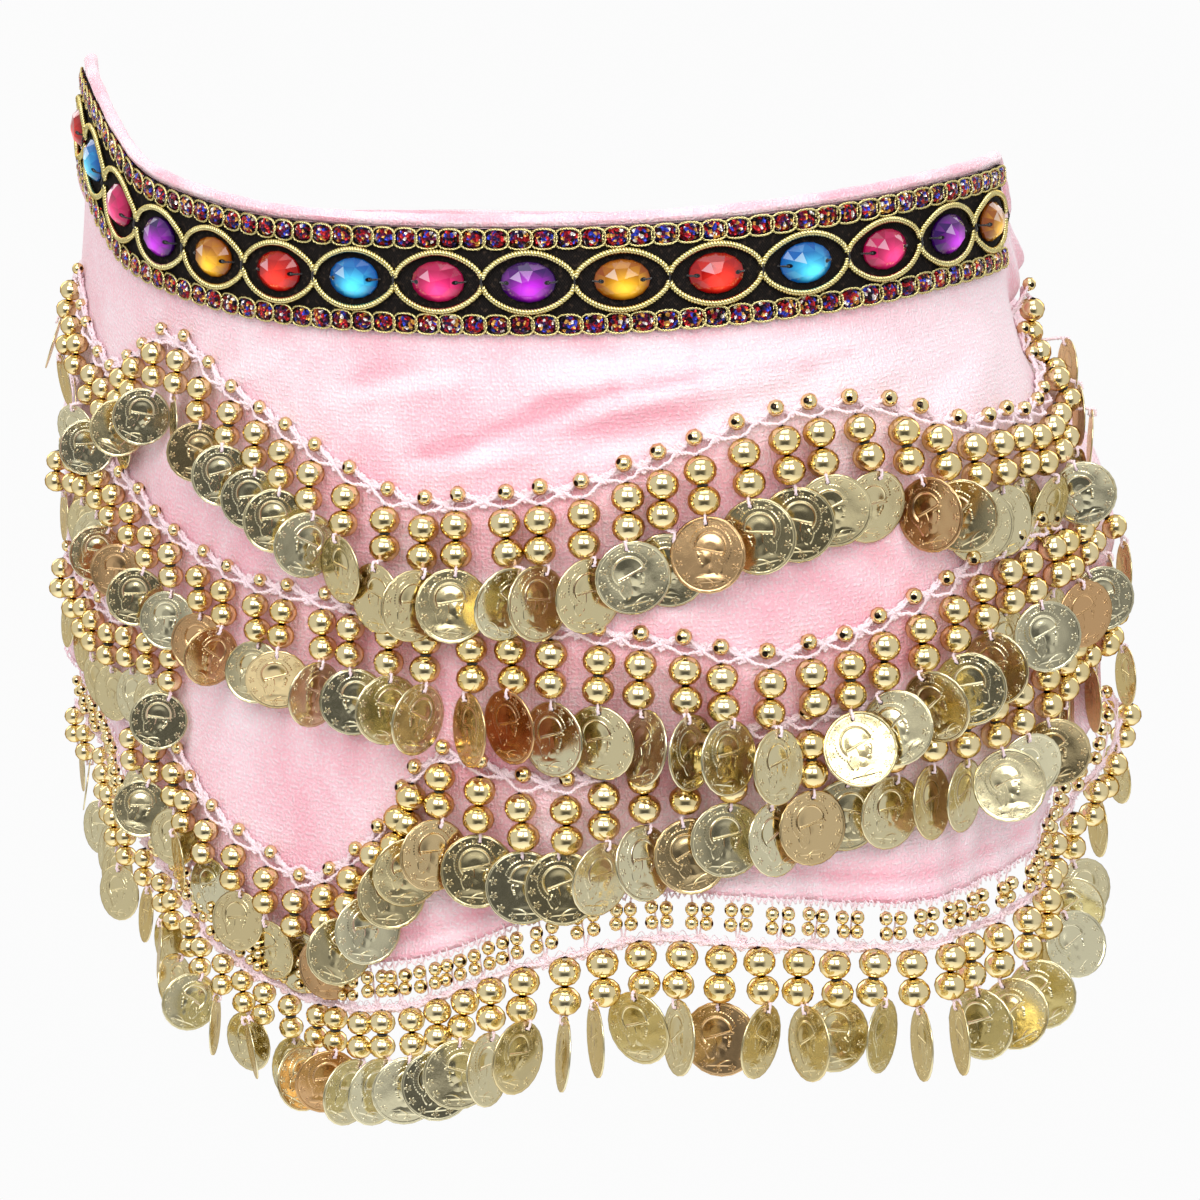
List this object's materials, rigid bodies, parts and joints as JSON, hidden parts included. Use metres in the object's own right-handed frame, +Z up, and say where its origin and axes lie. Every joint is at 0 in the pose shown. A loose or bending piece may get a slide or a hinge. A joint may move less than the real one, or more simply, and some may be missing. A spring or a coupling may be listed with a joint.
{
  "type": "belly dance hip scarf",
  "caption": "Pink velvet hip scarf, shaped as worn, with a jewelled trim, festoon rows of gold beads and coins, a beaded net under the hem, and ties knotted at the back.",
  "frame": {"origin": "middle of the ring that the scarf is worn on, level with the middle of the jewelled trim at the front", "axes": "+Z up; -Y to the front of the panel; +X to the wearer's left; X is the longest extent and Y the shortest"},
  "size_m": [0.3629, 0.3013, 0.3249],
  "materials": {
    "velvet": "pale pink stretch velvet with a soft sheen",
    "black_ribbon": "black woven ribbon with coloured metallic chain borders",
    "gold_braid": "twisted gold metallic braid",
    "gilt": "polished gold plated beads and thin pressed gold coins",
    "jewel_red": "clear faceted acrylic with a foil back",
    "jewel_sky": "clear faceted acrylic with a foil back",
    "jewel_magenta": "clear faceted acrylic with a foil back",
    "jewel_purple": "clear faceted acrylic with a foil back",
    "jewel_amber": "clear faceted acrylic with a foil back"
  },
  "bodies": {
    "root": {"velvet_panel": "velvet", "edge_roll": "velvet", "tie_band": "velvet", "tie_knot": "velvet", "tie_tail_long": "velvet", "tie_tail_short": "velvet", "trim_ribbon": "black_ribbon", "braid_upper": "gold_braid", "braid_lower": "gold_braid", "row_top": "gilt", "row_second": "gilt", "row_side": "gilt", "row_third": "gilt", "hem_net": "gilt", "jewel_01": "jewel_red", "jewel_02": "jewel_sky", "jewel_03": "jewel_magenta", "jewel_04": "jewel_purple", "jewel_05": "jewel_amber", "jewel_06": "jewel_red", "jewel_07": "jewel_sky", "jewel_08": "jewel_magenta", "jewel_09": "jewel_purple", "jewel_10": "jewel_amber", "jewel_11": "jewel_red", "jewel_12": "jewel_sky", "jewel_13": "jewel_magenta", "jewel_14": "jewel_purple", "jewel_15": "jewel_amber"}
  },
  "joints": []
}
